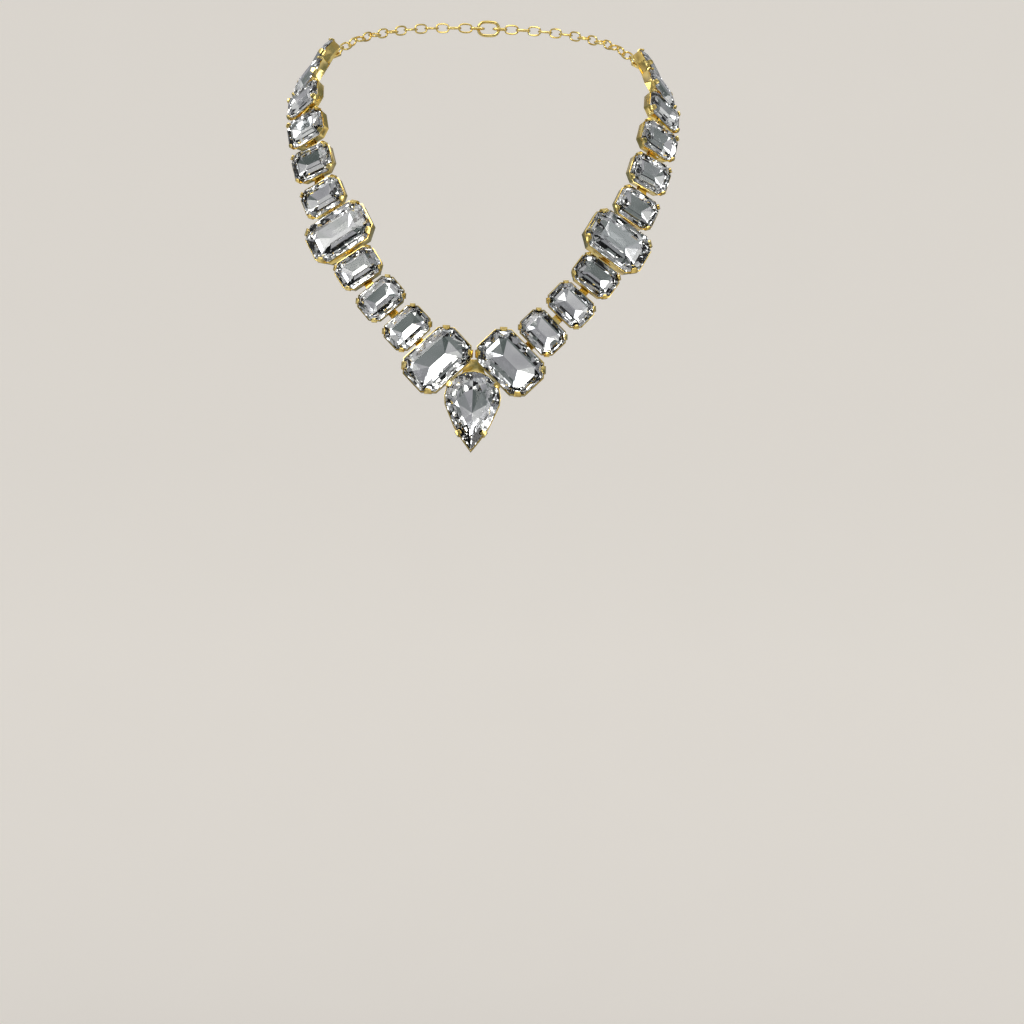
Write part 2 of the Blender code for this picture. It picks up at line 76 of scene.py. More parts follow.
# Sizes and colours that a user would change


class StoneSizes(bpy.types.PropertyGroup):
    crown_step: bpy.props.FloatProperty(
        name="Crown step",
        description="How far the first row of crown facets stands in from the outline",
        default=0.0011,
        unit="LENGTH",
    )
    crown_step_rise: bpy.props.FloatProperty(
        name="Crown step rise",
        description="Share of the crown's height that the first row of facets takes",
        default=0.52,
        subtype="FACTOR",
    )
    table_side: bpy.props.FloatProperty(
        name="Table side",
        description="How far the table stands in from the long sides, as a share of the width",
        default=0.165,
        subtype="FACTOR",
    )
    table_end: bpy.props.FloatProperty(
        name="Table end",
        description="How far the table stands in from the ends, as a share of the length",
        default=0.150,
        subtype="FACTOR",
    )
    back_step: bpy.props.FloatProperty(
        name="Back step",
        description="How far the first row of back facets stands in, as a share of the width",
        default=0.20,
        subtype="FACTOR",
    )
    back_step_depth: bpy.props.FloatProperty(
        name="Back step depth",
        description="Share of the back's depth that the first row of facets takes",
        default=0.64,
        subtype="FACTOR",
    )
    keel: bpy.props.FloatProperty(
        name="Keel",
        description="Length of the edge at the very back, as a share of the stone's length",
        default=0.34,
        subtype="FACTOR",
    )
    glass_colour: bpy.props.FloatVectorProperty(
        name="Glass",
        description="Colour of the clear glass",
        default=(0.97, 0.985, 0.98),
        subtype="COLOR",
    )
    foil_colour: bpy.props.FloatVectorProperty(
        name="Foil",
        description="Colour of the silver foil behind the glass",
        default=(0.93, 0.93, 0.92),
        subtype="COLOR",
    )


class MetalSizes(bpy.types.PropertyGroup):
    edge_round: bpy.props.FloatProperty(
        name="Edge rounding",
        description="Radius that polishing has left on the edges of the settings",
        default=0.00012,
        unit="LENGTH",
    )
    claw_round: bpy.props.FloatProperty(
        name="Claw rounding",
        description="Radius of the edges of the claws",
        default=0.00028,
        unit="LENGTH",
    )
    claw_tip_round: bpy.props.FloatProperty(
        name="Claw tip rounding",
        description="Radius of the two corners at the end of a claw",
        default=0.00065,
        unit="LENGTH",
    )
    gold_colour: bpy.props.FloatVectorProperty(
        name="Gold",
        description="Colour of the gold plate",
        default=(0.96, 0.76, 0.28),
        subtype="COLOR",
    )
    worn_colour: bpy.props.FloatVectorProperty(
        name="Deep gold",
        description="Colour of the plate where it is less polished",
        default=(0.86, 0.62, 0.18),
        subtype="COLOR",
    )


class StudioSizes(bpy.types.PropertyGroup):
    floor_drop: bpy.props.FloatProperty(
        name="Floor drop",
        description="How far the floor lies under the pear's tip",
        default=0.75,
        unit="LENGTH",
    )
    floor_front: bpy.props.FloatProperty(
        name="Floor front",
        description="How far the flat middle of the floor reaches towards the camera",
        default=0.40,
        unit="LENGTH",
    )
    floor_radius: bpy.props.FloatProperty(
        name="Floor radius",
        description="Radius of the flat middle of the floor",
        default=1.0,
        unit="LENGTH",
    )
    wall_radius: bpy.props.FloatProperty(
        name="Wall radius",
        description="Radius of the paper wall round the floor",
        default=2.8,
        unit="LENGTH",
    )
    floor_colour: bpy.props.FloatVectorProperty(
        name="Floor",
        description="Colour of the floor and the wall",
        default=(0.74, 0.70, 0.64),
        subtype="COLOR",
    )
    lens_distance: bpy.props.FloatProperty(
        name="Camera distance",
        description="Distance from the camera to the middle of the stones",
        default=1.3,
        unit="LENGTH",
    )


# Hand tools that the operators share


def clear_choice():
    if bpy.context.mode != "OBJECT":
        bpy.ops.object.mode_set(mode="OBJECT")
    bpy.ops.object.select_all(action="DESELECT")


def take(piece):
    clear_choice()
    piece.select_set(True)
    bpy.context.view_layer.objects.active = piece


def open_mesh(piece, parts="FACE"):
    take(piece)
    bpy.ops.object.mode_set(mode="EDIT")
    bpy.ops.mesh.select_mode(type=parts)


def choose(piece, parts, wanted):
    """Selects the faces, edges or verts of the open mesh that pass a test."""
    bpy.ops.mesh.select_all(action="DESELECT")
    shape = bmesh.from_edit_mesh(piece.data)
    found = [part for part in getattr(shape, parts) if wanted(part)]
    if not found:
        raise RuntimeError(f"{piece.name} has none of the {parts} that this step shapes")
    for part in found:
        part.select_set(True)
    shape.select_flush_mode()
    bmesh.update_edit_mesh(piece.data)


def is_level(edge, z):
    """True for an edge that lies at a height."""
    return all(abs(vert.co.z - z) < TINY for vert in edge.verts)


def resize(x, y, z, centre=(0, 0, 0)):
    bpy.ops.transform.resize(value=(x, y, z), center_override=centre)


def extrude(offset=(0, 0, 0)):
    bpy.ops.mesh.extrude_region_move(TRANSFORM_OT_translate={"value": offset})


def settle(piece, place):
    """Puts the piece at its place with the place in its mesh."""
    piece.matrix_world = place
    take(piece)
    bpy.ops.object.transform_apply(location=True, rotation=True, scale=True)


def own_copy(pattern, name):
    piece = pattern.copy()
    piece.data = pattern.data.copy()
    piece.name = name
    piece.data.name = name
    bpy.context.scene.collection.objects.link(piece)
    return piece


def merged_copy(node, name):
    """A copy of a solid with its loose triangles joined into whole faces."""
    if node not in NODES:
        raise RuntimeError(f"The packed model has no {node}")
    piece = bpy.data.objects.new(name, NODES[node].data.copy())
    piece.data.name = name
    piece.data.materials.clear()
    bpy.context.scene.collection.objects.link(piece)
    open_mesh(piece, "VERT")
    bpy.ops.mesh.select_all(action="SELECT")
    bpy.ops.mesh.remove_doubles(threshold=TINY)
    bpy.ops.mesh.dissolve_limited(angle_limit=FLAT_ANGLE)
    bpy.ops.object.mode_set(mode="OBJECT")
    bpy.ops.mesh.customdata_custom_splitnormals_clear()
    bpy.ops.object.shade_flat()
    return piece


def add_modifier(piece, kind, **values):
    """Adds a modifier with its values and applies it. The piece stays chosen."""
    modifier = piece.modifiers.new(kind.title(), kind)
    for key, value in values.items():
        setattr(modifier, key, value)
    take(piece)
    bpy.ops.object.modifier_apply(modifier=modifier.name)


def finish_piece(piece, node):
    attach(piece, "root")
    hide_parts(node)


def throw_away(piece):
    bpy.data.objects.remove(piece)


# Materials

# Scales of the noises, larger for finer ones
GOLD_CLOUDS = 140
GOLD_HAZE = 900
GOLD_PEEL = 2200
GLASS_CLOUDS = 60
GLASS_HAZE = 400
FOIL_CLOUDS = 220
FOIL_HAZE = 700
FOIL_WAVES = 110
PAPER_GRAIN = 9

# Where most of a noise lies, and the wider or narrower parts of it that colours take
NOISE_SPAN = (0.3, 0.7)
GOLD_SPAN = (0.38, 0.62)
PAPER_SPAN = (0.2, 0.8)

# Lowest and highest roughness of the finishes, and the one roughness of the paper
GOLD_ROUGHNESS = (0.10, 0.22)
GLASS_ROUGHNESS = (0.0, 0.012)
FOIL_ROUGHNESS = (0.02, 0.07)
PAPER_ROUGHNESS = 0.9

# Brightness of the darkest clouds as a share of the lightest
GLASS_DARKEST = 0.97
FOIL_DARKEST = 0.94
PAPER_DARKEST = 0.98

# Heights of the bumps in metres, and the strength of all of them
PEEL_HEIGHT = 0.00003
WAVE_HEIGHT = 0.0004
BUMP_STRENGTH = 0.4

# Small facets of the press: how many to a metre, and how far they tilt
SMALL_FACETS = 380
SMALL_FACET_TILT = 0.45

GLASS_IOR = 1.52


def new_material(name):
    """The material and its nodes, or None in place of the nodes if it is there already."""
    surface = bpy.data.materials.get(name)
    if surface is not None:
        return surface, None
    surface = bpy.data.materials.new(name)
    surface.use_nodes = True
    return surface, surface.node_tree


def noise_of(tree, scale, detail=3.0, coordinates="Object"):
    place = tree.nodes.new("ShaderNodeTexCoord")
    noise = tree.nodes.new("ShaderNodeTexNoise")
    noise.inputs["Scale"].default_value = scale
    noise.inputs["Detail"].default_value = detail
    tree.links.new(place.outputs[coordinates], noise.inputs["Vector"])
    return noise


def ramp_of(tree, source, stops):
    ramp = tree.nodes.new("ShaderNodeValToRGB")
    points = ramp.color_ramp.elements
    while len(points) < len(stops):
        points.new(1.0)
    for point, (spot, colour) in zip(points, stops):
        point.position = spot
        point.color = (*colour, 1)
    tree.links.new(source, ramp.inputs["Fac"])
    return ramp


def cloudy(tree, scale, colour, darkest, span=NOISE_SPAN):
    """A colour with faint clouds, the darkest of which have a share of its brightness."""
    dark = [darkest * part for part in colour]
    clouds = noise_of(tree, scale)
    return ramp_of(tree, clouds.outputs["Fac"], [(span[0], dark), (span[1], colour)])


def range_of(tree, source, ends, span=NOISE_SPAN):
    """Turns a value within the span into one between the ends."""
    spread = tree.nodes.new("ShaderNodeMapRange")
    spread.inputs["From Min"].default_value = span[0]
    spread.inputs["From Max"].default_value = span[1]
    spread.inputs["To Min"].default_value = ends[0]
    spread.inputs["To Max"].default_value = ends[1]
    tree.links.new(source, spread.inputs["Value"])
    return spread


def bump_of(tree, source, distance):
    bump = tree.nodes.new("ShaderNodeBump")
    bump.inputs["Distance"].default_value = distance
    bump.inputs["Strength"].default_value = BUMP_STRENGTH
    tree.links.new(source, bump.inputs["Height"])
    return bump


def vector_step(tree, operation, source):
    return new_step(tree, "ShaderNodeVectorMath", operation, source)


def math_step(tree, operation, source):
    return new_step(tree, "ShaderNodeMath", operation, source)


def new_step(tree, kind, operation, source):
    """A node that does one sum, with its first value from a source."""
    step = tree.nodes.new(kind)
    step.operation = operation
    tree.links.new(source, step.inputs[0])
    return step


def polished_gold():
    """Yellow gold plate: cloudy deeper patches, polishing haze and a faint orange peel."""
    sizes = bpy.context.scene.necklace_metal
    surface, tree = new_material("Polished gold plate")
    if tree is None:
        return surface
    shader = tree.nodes["Principled BSDF"]
    shader.inputs["Metallic"].default_value = 1.0
    clouds = noise_of(tree, GOLD_CLOUDS)
    stops = [(GOLD_SPAN[0], sizes.worn_colour), (GOLD_SPAN[1], sizes.gold_colour)]
    colour = ramp_of(tree, clouds.outputs["Fac"], stops)
    haze = noise_of(tree, GOLD_HAZE, detail=6)
    roughness = range_of(tree, haze.outputs["Fac"], GOLD_ROUGHNESS)
    grain = noise_of(tree, GOLD_PEEL, detail=2)
    peel = bump_of(tree, grain.outputs["Fac"], PEEL_HEIGHT)
    tree.links.new(colour.outputs["Color"], shader.inputs["Base Color"])
    tree.links.new(roughness.outputs["Result"], shader.inputs["Roughness"])
    tree.links.new(peel.outputs["Normal"], shader.inputs["Normal"])
    return surface


def clear_glass():
    """Clear pressed glass, with the faintest cloud in its colour and polish."""
    sizes = bpy.context.scene.necklace_stones
    surface, tree = new_material("Clear glass")
    if tree is None:
        return surface
    shader = tree.nodes["Principled BSDF"]
    shader.inputs["IOR"].default_value = GLASS_IOR
    shader.inputs["Transmission Weight"].default_value = 1.0
    tint = cloudy(tree, GLASS_CLOUDS, sizes.glass_colour, GLASS_DARKEST)
    haze = noise_of(tree, GLASS_HAZE)
    polish = range_of(tree, haze.outputs["Fac"], GLASS_ROUGHNESS)
    tree.links.new(tint.outputs["Color"], shader.inputs["Base Color"])
    tree.links.new(polish.outputs["Result"], shader.inputs["Roughness"])
    return surface


def foil_nodes(tree, normal):
    """Bright metal with a faint cloud, facing as the normal says."""
    sizes = bpy.context.scene.necklace_stones
    shader = tree.nodes["Principled BSDF"]
    shader.inputs["Metallic"].default_value = 1.0
    tint = cloudy(tree, FOIL_CLOUDS, sizes.foil_colour, FOIL_DARKEST)
    haze = noise_of(tree, FOIL_HAZE)
    polish = range_of(tree, haze.outputs["Fac"], FOIL_ROUGHNESS)
    tree.links.new(normal, shader.inputs["Normal"])
    tree.links.new(tint.outputs["Color"], shader.inputs["Base Color"])
    tree.links.new(polish.outputs["Result"], shader.inputs["Roughness"])


def silver_foil():
    """Silver foil on the big back facets, which are a little wavy from the press."""
    surface, tree = new_material("Silver foil")
    if tree is not None:
        waves = noise_of(tree, FOIL_WAVES, detail=0)
        bump = bump_of(tree, waves.outputs["Fac"], WAVE_HEIGHT)
        foil_nodes(tree, bump.outputs["Normal"])
    return surface


def pressed_foil():
    """Silver foil on the rows of small facets that the press makes round the edge."""
    surface, tree = new_material("Silver foil, small facets")
    if tree is None:
        return surface
    place = tree.nodes.new("ShaderNodeTexCoord")
    cells = tree.nodes.new("ShaderNodeTexVoronoi")
    cells.inputs["Scale"].default_value = SMALL_FACETS
    tree.links.new(place.outputs["Object"], cells.inputs["Vector"])
    centred = vector_step(tree, "SUBTRACT", cells.outputs["Color"])
    centred.inputs[1].default_value = (0.5, 0.5, 0.5)
    tilt = vector_step(tree, "SCALE", centred.outputs["Vector"])
    tilt.inputs["Scale"].default_value = SMALL_FACET_TILT
    tilted = vector_step(tree, "ADD", place.outputs["Normal"])
    tree.links.new(tilt.outputs["Vector"], tilted.inputs[1])
    normal = vector_step(tree, "NORMALIZE", tilted.outputs["Vector"])
    foil_nodes(tree, normal.outputs["Vector"])
    return surface


def studio_paper():
    """Matt paper with a faint grain, which glows a little towards the wall."""
    sizes = bpy.context.scene.necklace_studio
    surface, tree = new_material("Studio paper")
    if tree is None:
        return surface
    shader = tree.nodes["Principled BSDF"]
    tint = cloudy(tree, PAPER_GRAIN, sizes.floor_colour, PAPER_DARKEST, PAPER_SPAN)
    shader.inputs["Roughness"].default_value = PAPER_ROUGHNESS
    tree.links.new(tint.outputs["Color"], shader.inputs["Base Color"])
    place = tree.nodes.new("ShaderNodeTexCoord")
    away = vector_step(tree, "DISTANCE", place.outputs["Object"])
    away.inputs[1].default_value = floor_middle(sizes)
    reach = (sizes.floor_radius, sizes.wall_radius)
    glow = range_of(tree, away.outputs["Value"], (0, WALL_GLOW), reach)
    tree.links.new(glow.outputs["Result"], shader.inputs["Emission Strength"])
    shader.inputs["Emission Color"].default_value = (*sizes.floor_colour, 1)
    surface.cycles.emission_sampling = "NONE"
    return surface


# Places and sizes of the stones, read from their solids


def upright_of(node, points, corners, middle, facing):
    """The way from the pear's tip to its head, or across an octagon's long sides."""
    if node == PEAR:
        tip = max(points, key=lambda point: (point - middle).length)
        upright = middle - tip
        return (upright - upright.dot(facing) * facing).normalized()
    edges = [corners[i] - corners[i - 1] for i in range(len(corners))]
    along = max(edges, key=lambda edge: edge.length).normalized()
    return facing.cross(along)


def stone_shape(node):
    """A stone's sizes and its frame: X along it, Z out of its table, from its girdle's foot."""
    pattern = merged_copy(node, "Measured stone")
    points = [vert.co.copy() for vert in pattern.data.vertices]
    table = max(pattern.data.polygons, key=lambda face: face.area)
    middle, facing = table.center.copy(), table.normal.copy()
    corners = [points[i] for i in table.vertices]
    throw_away(pattern)
    upright = upright_of(node, points, corners, middle, facing)
    turned = Matrix((upright.cross(facing), upright, facing)).transposed().to_4x4()
    turned.translation = middle
    local = [turned.inverted() @ point for point in points]
    top, bottom = max(point.y for point in local), min(point.y for point in local)
    widest = [point for point in local if point.y > top - TINY]
    foot = min(point.z for point in widest)
    radius = max(point.x for point in local)
    centre_y = top - radius if node == PEAR else (top + bottom) / 2
    shift = Vector((0, centre_y, foot))
    ring = [point - shift for point in local if abs(point.z - foot) < TINY]
    ring.sort(key=lambda point: math.atan2(point.y, point.x))
    return {
        "place": turned @ Matrix.Translation(shift),
        "ring": ring,
        "length": 2 * radius,
        "width": top - bottom,
        "cut": radius - max(point.x for point in widest),
        "girdle": max(point.z for point in widest) - foot,
        "crown": -max(point.z for point in widest),
        "pavilion": foot - min(point.z for point in local),
        "culet": min(local, key=lambda point: point.z).y - centre_y,
    }


SHAPES = {}


def shape_of(node):
    """The shape of a stone, which is measured once."""
    if node not in SHAPES:
        SHAPES[node] = stone_shape(node)
    return SHAPES[node]


# Stones

# Stones whose lengths agree to this many digits share a pattern
LENGTH_DIGITS = 4

# Width of the pear's back at its star as a share of its girdle, and how many of the
# ring's points meet in each point of the star
PEAR_STAR_SHARE = 0.58
STAR_GROUP = 3


def octagon_pattern(size):
    """A step cut octagon from a cube, cut as a lapidary would: corners, crown, then back."""
    cut = bpy.context.scene.necklace_stones
    length, width, girdle = size["length"], size["width"], size["girdle"]
    clear_choice()
    bpy.ops.mesh.primitive_cube_add(size=1)
    piece = bpy.context.object
    open_mesh(piece)
    bpy.ops.mesh.select_all(action="SELECT")
    resize(length, width, girdle)
    bpy.ops.transform.translate(value=(0, 0, girdle / 2))
    bpy.ops.mesh.select_mode(type="EDGE")
    choose(piece, "edges", lambda edge: abs(edge.verts[0].co.z - edge.verts[1].co.z) > TINY)
    bpy.ops.mesh.bevel(offset=size["cut"], offset_type="OFFSET", segments=1, affect="EDGES")
    bpy.ops.mesh.select_mode(type="FACE")
    choose(piece, "faces", lambda face: face.normal.z > LEVEL)
    step_rise = size["crown"] * cut.crown_step_rise
    bpy.ops.mesh.inset(thickness=cut.crown_step, depth=step_rise)
    extrude((0, 0, size["crown"] - step_rise))
    inner_length, inner_width = length - 2 * cut.crown_step, width - 2 * cut.crown_step
    table_length = length * (1 - 2 * cut.table_end)
    table_width = width * (1 - 2 * cut.table_side)
    resize(table_length / inner_length, table_width / inner_width, 1)
    bpy.ops.mesh.select_mode(type="EDGE")
    table_z = girdle + size["crown"]
    choose(piece, "edges", lambda edge: is_corner(edge, table_z))
    bpy.ops.mesh.merge(type="COLLAPSE")
    bpy.ops.mesh.select_mode(type="FACE")
    choose(piece, "faces", lambda face: face.normal.z < -LEVEL)
    back_step = width * cut.back_step
    bpy.ops.mesh.inset(thickness=back_step, depth=size["pavilion"] * cut.back_step_depth)
    bpy.ops.mesh.delete(type="ONLY_FACE")
    bpy.ops.mesh.select_mode(type="EDGE")
    choose(piece, "edges", lambda edge: edge.is_boundary)
    extrude((0, 0, -size["pavilion"] * (1 - cut.back_step_depth)))
    resize(length * cut.keel / (length - 2 * back_step), 0, 1)
    bpy.ops.mesh.select_all(action="SELECT")
    bpy.ops.mesh.remove_doubles(threshold=TINY)
    keel_z = -size["pavilion"]
    choose(piece, "edges", lambda edge: is_keel_end(edge, keel_z))
    bpy.ops.mesh.merge(type="COLLAPSE")
    close_up(piece)
    return piece


def is_corner(edge, z):
    first, second = (vert.co for vert in edge.verts)
    slanted = abs(first.x - second.x) > TINY and abs(first.y - second.y) > TINY
    return slanted and is_level(edge, z)


def is_keel_end(edge, z):
    first, second = (vert.co for vert in edge.verts)
    return first.x * second.x > 0 and is_level(edge, z)


def close_up(piece):
    """Turns all faces outwards and leaves edit mode."""
    bpy.ops.mesh.select_all(action="SELECT")
    bpy.ops.mesh.normals_make_consistent(inside=False)
    bpy.ops.object.mode_set(mode="OBJECT")


def pear_pattern(size):
    """The pear from its solid, with the back cut again into a star of kite facets."""
    cut = bpy.context.scene.necklace_stones
    piece = merged_copy(PEAR, "Pear pattern")
    piece.data.transform(size["place"].inverted())
    open_mesh(piece, "VERT")
    choose(piece, "verts", lambda vert: vert.co.z < -TINY)
    bpy.ops.mesh.delete(type="VERT")
    bpy.ops.mesh.select_mode(type="EDGE")
    choose(piece, "edges", lambda edge: edge.is_boundary)
    step_depth = size["pavilion"] * cut.back_step_depth
    extrude((0, 0, -step_depth))
    culet = (0, size["culet"], -step_depth)
    resize(PEAR_STAR_SHARE, PEAR_STAR_SHARE, 1, culet)
    spots = [vert.co.copy() for vert in bmesh.from_edit_mesh(piece.data).verts if vert.select]
    groups = star_groups(spots, culet)
    choose(piece, "edges", lambda edge: any(edge_within(edge, group) for group in groups))
    bpy.ops.mesh.merge(type="COLLAPSE")
    choose(piece, "edges", lambda edge: edge.is_boundary)
    extrude((0, 0, step_depth - size["pavilion"]))
    bpy.ops.mesh.merge(type="CENTER")
    choose(piece, "verts", lambda vert: vert.co.z < TINY - size["pavilion"])
    move_to(piece, Vector((0, culet[1], -size["pavilion"])))
    close_up(piece)
    return piece


def star_groups(spots, culet):
    """The ring's points in groups to each side of the tip. Each becomes one star point."""
    ring = sorted(spots, key=lambda spot: math.atan2(spot.x - culet[0], culet[1] - spot.y))
    tip = min(range(len(ring)), key=lambda i: ring[i].y)
    side = ring[tip + 1 :] + ring[:tip]
    middle = len(side) // 2
    halves = (side[:middle], side[middle + 1 :])
    return [half[i : i + STAR_GROUP] for half in halves for i in range(0, len(half), STAR_GROUP)]


def edge_within(edge, group):
    """True if both ends of the edge are spots of the group."""
    return all(min((vert.co - spot).length for spot in group) < TINY for vert in edge.verts)


def move_to(piece, spot):
    """Moves the one chosen vert of the open mesh to a spot."""
    chosen = next(vert for vert in bmesh.from_edit_mesh(piece.data).verts if vert.select)
    bpy.ops.transform.translate(value=spot - chosen.co)


def paint_stone(piece):
    """Glass in front of the girdle's foot, foil behind it, in small facets next to the girdle."""
    piece.data.materials.clear()
    for surface in (clear_glass(), silver_foil(), pressed_foil()):
        piece.data.materials.append(surface)
    for face in piece.data.polygons:
        at_girdle = any(abs(piece.data.vertices[i].co.z) < TINY for i in face.vertices)
        face.material_index = 0 if face.center.z > -TINY else 1 + at_girdle


class NECKLACE_OT_stones(bpy.types.Operator):
    """Cuts each stone at its own place"""

    bl_idname = "necklace.stones"
    bl_label = "Stones"

    def execute(self, context):
        patterns = {}
        for node in STONES:
            size = shape_of(node)
            kind = "pear" if node == PEAR else round(size["length"], LENGTH_DIGITS)
            if kind not in patterns:
                cut = pear_pattern if node == PEAR else octagon_pattern
                patterns[kind] = cut(size)
                paint_stone(patterns[kind])
            piece = own_copy(patterns[kind], "cut_" + node)
            settle(piece, size["place"])
            finish_piece(piece, node)
        for pattern in patterns.values():
            throw_away(pattern)
        return {"FINISHED"}


# Settings

# Where a claw is, in its stone's frame: above the rim and near the outline
CLAW_FOOT = -0.00025
CLAW_RISE = 0.0012
CLAW_INSIDE = 0.0026
CLAW_OUTSIDE = 0.0015

# The edges at a claw's end are shorter than the first and reach less far out than the second
CLAW_TIP_LENGTH = 0.0012
CLAW_TIP_REACH = 0.0003

# Edges that turn more than this are rounded, on the claws and on the rest of a setting
CLAW_EDGE_ANGLE = math.radians(25)
RIM_EDGE_ANGLE = math.radians(30)

# Steps in which the ends of the claws, their edges and all other edges are rounded
CLAW_TIP_STEPS = 4
CLAW_STEPS = 3
EDGE_STEPS = 2


def stones_of(setting):
    if setting == "setting_centre":
        return ["stone_right_01", "stone_left_01", PEAR]
    return [setting.replace("setting", "stone")]


def outwards(spot, ring):
    """How far a spot in a stone's frame is outside its outline."""
    reaches = []
    for i in range(len(ring)):
        run = ring[i] - ring[i - 1]
        out = Vector((run.y, -run.x, 0)).normalized()
        reaches.append((spot - ring[i]).dot(out))
    return max(reaches)


def claw_reach(spot, sizes):
    """How far a spot of a claw is outside its stone's outline, or None off the claws."""
    for size in sizes:
        local = size["place"].inverted() @ spot
        reach = outwards(local, size["ring"])
        raised = CLAW_FOOT < local.z < size["crown"] + CLAW_RISE
        if raised and -CLAW_INSIDE < reach < CLAW_OUTSIDE:
            return reach
    return None


def is_claw_tip(edge, sizes):
    """True for the two short edges at the end of a claw."""
    reaches = [claw_reach(vert.co, sizes) for vert in edge.verts]
    short = edge.calc_length() < CLAW_TIP_LENGTH
    return short and None not in reaches and max(reaches) < CLAW_TIP_REACH


def is_claw_edge(edge, sizes):
    sharp = edge.calc_face_angle(0) > CLAW_EDGE_ANGLE
    return sharp and all(claw_reach(vert.co, sizes) is not None for vert in edge.verts)


def round_off(radius, steps):
    bpy.ops.mesh.bevel(offset=radius, segments=steps, clamp_overlap=True)


class NECKLACE_OT_settings(bpy.types.Operator):
    """Rounds the claws and the edges of the settings"""

    bl_idname = "necklace.settings"
    bl_label = "Settings"

    def execute(self, context):
        metal = context.scene.necklace_metal
        for node in SETTINGS:
            piece = merged_copy(node, "polished_" + node)
            sizes = [shape_of(stone) for stone in stones_of(node)]
            open_mesh(piece, "EDGE")
            choose(piece, "edges", lambda edge: is_claw_tip(edge, sizes))
            round_off(metal.claw_tip_round, CLAW_TIP_STEPS)
            choose(piece, "edges", lambda edge: is_claw_edge(edge, sizes))
            round_off(metal.claw_round, CLAW_STEPS)
            bpy.ops.object.mode_set(mode="OBJECT")
            add_modifier(
                piece,
                "BEVEL",
                width=metal.edge_round,
                segments=EDGE_STEPS,
                limit_method="ANGLE",
                angle_limit=RIM_EDGE_ANGLE,
                use_clamp_overlap=True,
            )
            bpy.ops.object.shade_smooth_by_angle(angle=SMOOTH_ANGLE)
            piece.data.materials.append(polished_gold())
            finish_piece(piece, node)
        return {"FINISHED"}


# Chains and clasp

# How often the wire's faces are divided
WIRE_LEVELS = 2


class NECKLACE_OT_chains(bpy.types.Operator):
    """Rounds the wire of the chains and the clasp"""

    bl_idname = "necklace.chains"
    bl_label = "Chains and clasp"

    def execute(self, context):
        for node in (*CHAINS, CLASP):
            piece = merged_copy(node, "round_" + node)
            add_modifier(piece, "SUBSURF", levels=WIRE_LEVELS, render_levels=WIRE_LEVELS)
            bpy.ops.object.shade_smooth()
            piece.data.materials.append(polished_gold())
            finish_piece(piece, node)
        return {"FINISHED"}


# Studio

# Paper floor and wall: sides of their round, height and fold of the wall, and its glow
ROUND_SIDES = 128
WALL_HEIGHT = 3.2
WALL_FOLD = 0.8
WALL_FOLD_STEPS = 24
WALL_GLOW = 0.5

# The spot that the softboxes aim at, and the colours of their light
AIM = (0, 0, -0.1)
WARM = (1.0, 0.98, 0.95)
COOL = (0.93, 0.95, 1.0)

# Name, place, size, power in watts and colour of each softbox
SOFTBOXES = (
    ("Key softbox", (-0.76, -0.72, 0.86), (0.85, 0.85), 11.0, WARM),
    ("Top softbox", (0.25, -0.35, 1.15), (0.9, 0.5), 4.0, COOL),
    ("Right strip", (0.95, -0.85, 0.25), (0.16, 0.8), 1.3, COOL),
    ("Left strip", (-1.05, -0.7, -0.25), (0.2, 0.6), 1.2, COOL),
    ("Right card", (0.84, -0.86, -0.30), (0.36, 0.36), 1.2, WARM),
    ("Low left card", (-0.45, -1.1, -0.75), (0.26, 0.26), 0.6, WARM),
)

# Greys of the room from dark to light, each with its place on the scale
ROOM_SHADES = [
    (0.36, (0.12, 0.145, 0.14)),
    (0.49, (0.26, 0.29, 0.285)),
    (0.60, (0.50, 0.49, 0.53)),
    (0.72, (1.0, 1.0, 1.0)),
]

# Scale of the room's clouds, its lightening overhead and underfoot, and its strength
ROOM_CLOUDS = 2.2
ROOM_RISE = 0.22
ROOM_STRENGTH = 0.7

# Camera as the photograph has it: level, a little to the right and turned a little in its frame
CAMERA_ROLL = math.radians(1.92)
CAMERA_ASIDE = 0.01725
CAMERA_LEVEL = -0.2104
CAMERA_NEAR = 0.05
PLANE_OF_STONES = -0.065
LENS = 114.26


def floor_middle(sizes):
    return (0, sizes.floor_radius - sizes.floor_front, CAD_BOX[0].z - sizes.floor_drop)


def is_fold(edge, middle, radius):
    """True for the edges round the foot of the wall."""
    far = all((vert.co - Vector(middle)).length > radius - TINY for vert in edge.verts)
    return far and is_level(edge, middle[2])


def softbox(name, spot, size, power, colour):
    clear_choice()
    bpy.ops.object.light_add(type="AREA", location=spot)
    lamp = bpy.context.object
    lamp.name = name
    lamp.data.shape = "RECTANGLE"
    lamp.data.size, lamp.data.size_y = size
    lamp.data.energy = power
    lamp.data.color = colour
    lamp.visible_camera = False
    lamp.rotation_euler = (Vector(AIM) - Vector(spot)).to_track_quat("-Z", "Y").to_euler()


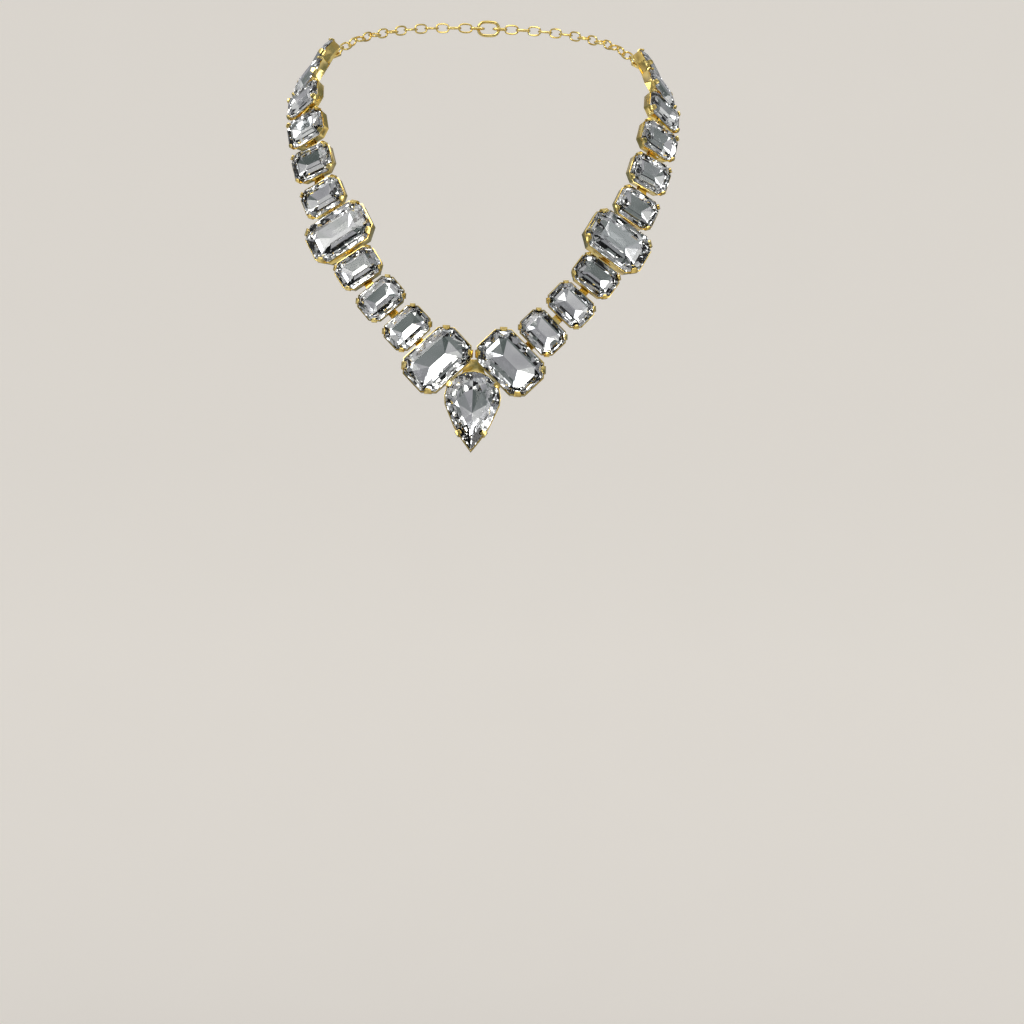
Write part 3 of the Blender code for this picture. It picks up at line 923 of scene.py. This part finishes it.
def dim_room():
    """The room behind the camera: uneven soft greys, lighter overhead and underfoot."""
    world = bpy.data.worlds.new("Dim room")
    bpy.context.scene.world = world
    world.use_nodes = True
    tree = world.node_tree
    background = tree.nodes["Background"]
    place = tree.nodes.new("ShaderNodeTexCoord")
    split = tree.nodes.new("ShaderNodeSeparateXYZ")
    tree.links.new(place.outputs["Generated"], split.inputs["Vector"])
    clouds = noise_of(tree, ROOM_CLOUDS, detail=1, coordinates="Generated")
    height = math_step(tree, "ABSOLUTE", split.outputs["Z"])
    mixed = math_step(tree, "MULTIPLY_ADD", height.outputs["Value"])
    mixed.inputs[1].default_value = ROOM_RISE
    tree.links.new(clouds.outputs["Fac"], mixed.inputs[2])
    shade = ramp_of(tree, mixed.outputs["Value"], ROOM_SHADES)
    tree.links.new(shade.outputs["Color"], background.inputs["Color"])
    background.inputs["Strength"].default_value = ROOM_STRENGTH


class NECKLACE_OT_studio(bpy.types.Operator):
    """Lays the floor with its wall, and sets the lights and the camera"""

    bl_idname = "necklace.studio"
    bl_label = "Studio"

    def execute(self, context):
        sizes = context.scene.necklace_studio
        self.lay_paper(sizes)
        dim_room()
        for name, spot, size, power, colour in SOFTBOXES:
            softbox(name, spot, size, power, colour)
        self.set_camera(sizes)
        context.scene.view_settings.view_transform = "Standard"
        return {"FINISHED"}

    def lay_paper(self, sizes):
        """A round floor whose rim turns up into a wall. It lets the light of the room through."""
        middle = floor_middle(sizes)
        clear_choice()
        bpy.ops.mesh.primitive_circle_add(vertices=ROUND_SIDES, radius=sizes.floor_radius)
        paper = bpy.context.object
        paper.name = "Paper floor"
        open_mesh(paper, "EDGE")
        bpy.ops.mesh.select_all(action="SELECT")
        bpy.ops.transform.translate(value=middle)
        extrude()
        spread = sizes.wall_radius / sizes.floor_radius
        resize(spread, spread, 1, middle)
        extrude((0, 0, WALL_HEIGHT))
        choose(paper, "edges", lambda edge: is_fold(edge, middle, sizes.wall_radius))
        bpy.ops.mesh.bevel(offset=WALL_FOLD, segments=WALL_FOLD_STEPS, affect="EDGES")
        # The middle is filled last, because an extrude would carry its face along
        choose(paper, "edges", lambda edge: edge.is_boundary and is_level(edge, middle[2]))
        bpy.ops.mesh.edge_face_add()
        bpy.ops.object.mode_set(mode="OBJECT")
        bpy.ops.object.shade_smooth()
        paper.visible_diffuse = False
        paper.visible_glossy = False
        paper.visible_transmission = False
        paper.visible_shadow = False
        paper.data.materials.append(studio_paper())

    def set_camera(self, sizes):
        spot = Vector((CAMERA_ASIDE, PLANE_OF_STONES - sizes.lens_distance, CAMERA_LEVEL))
        clear_choice()
        bpy.ops.object.camera_add(location=spot)
        camera = bpy.context.object
        camera.name = "Camera"
        level = Matrix.Rotation(math.radians(90), 4, "X")
        camera.rotation_euler = (Matrix.Rotation(-CAMERA_ROLL, 4, "Y") @ level).to_euler()
        camera.data.lens = LENS
        camera.data.clip_start = CAMERA_NEAR
        bpy.context.scene.camera = camera


# Sidebar, registering and the whole build

STEPS = ("studio", "stones", "settings", "chains")


class NECKLACE_PT_sidebar(bpy.types.Panel):
    """Lists the steps that dress the necklace, with their sizes"""

    bl_idname = "NECKLACE_PT_sidebar"
    bl_label = "Bib necklace"
    bl_space_type = "VIEW_3D"
    bl_region_type = "UI"
    bl_category = "Necklace"

    def draw(self, context):
        for step in STEPS:
            self.layout.operator("necklace." + step)
        for group in GROUPS:
            owner = getattr(context.scene, group)
            for size in owner.bl_rna.properties.keys():
                if size not in ("rna_type", "name"):
                    self.layout.prop(owner, size)


GROUPS = {
    "necklace_stones": StoneSizes,
    "necklace_metal": MetalSizes,
    "necklace_studio": StudioSizes,
}
CLASSES = (
    StoneSizes,
    MetalSizes,
    StudioSizes,
    NECKLACE_OT_studio,
    NECKLACE_OT_stones,
    NECKLACE_OT_settings,
    NECKLACE_OT_chains,
    NECKLACE_PT_sidebar,
)


def register():
    for kind in CLASSES:
        bpy.utils.register_class(kind)
    for name, group in GROUPS.items():
        setattr(bpy.types.Scene, name, bpy.props.PointerProperty(type=group))


def unregister():
    for name in GROUPS:
        delattr(bpy.types.Scene, name)
    for kind in reversed(CLASSES):
        bpy.utils.unregister_class(kind)


def main():
    register()
    bpy.ops.necklace.studio()
    bpy.ops.necklace.stones()
    bpy.ops.necklace.settings()
    bpy.ops.necklace.chains()


if __name__ == "__main__":
    main()
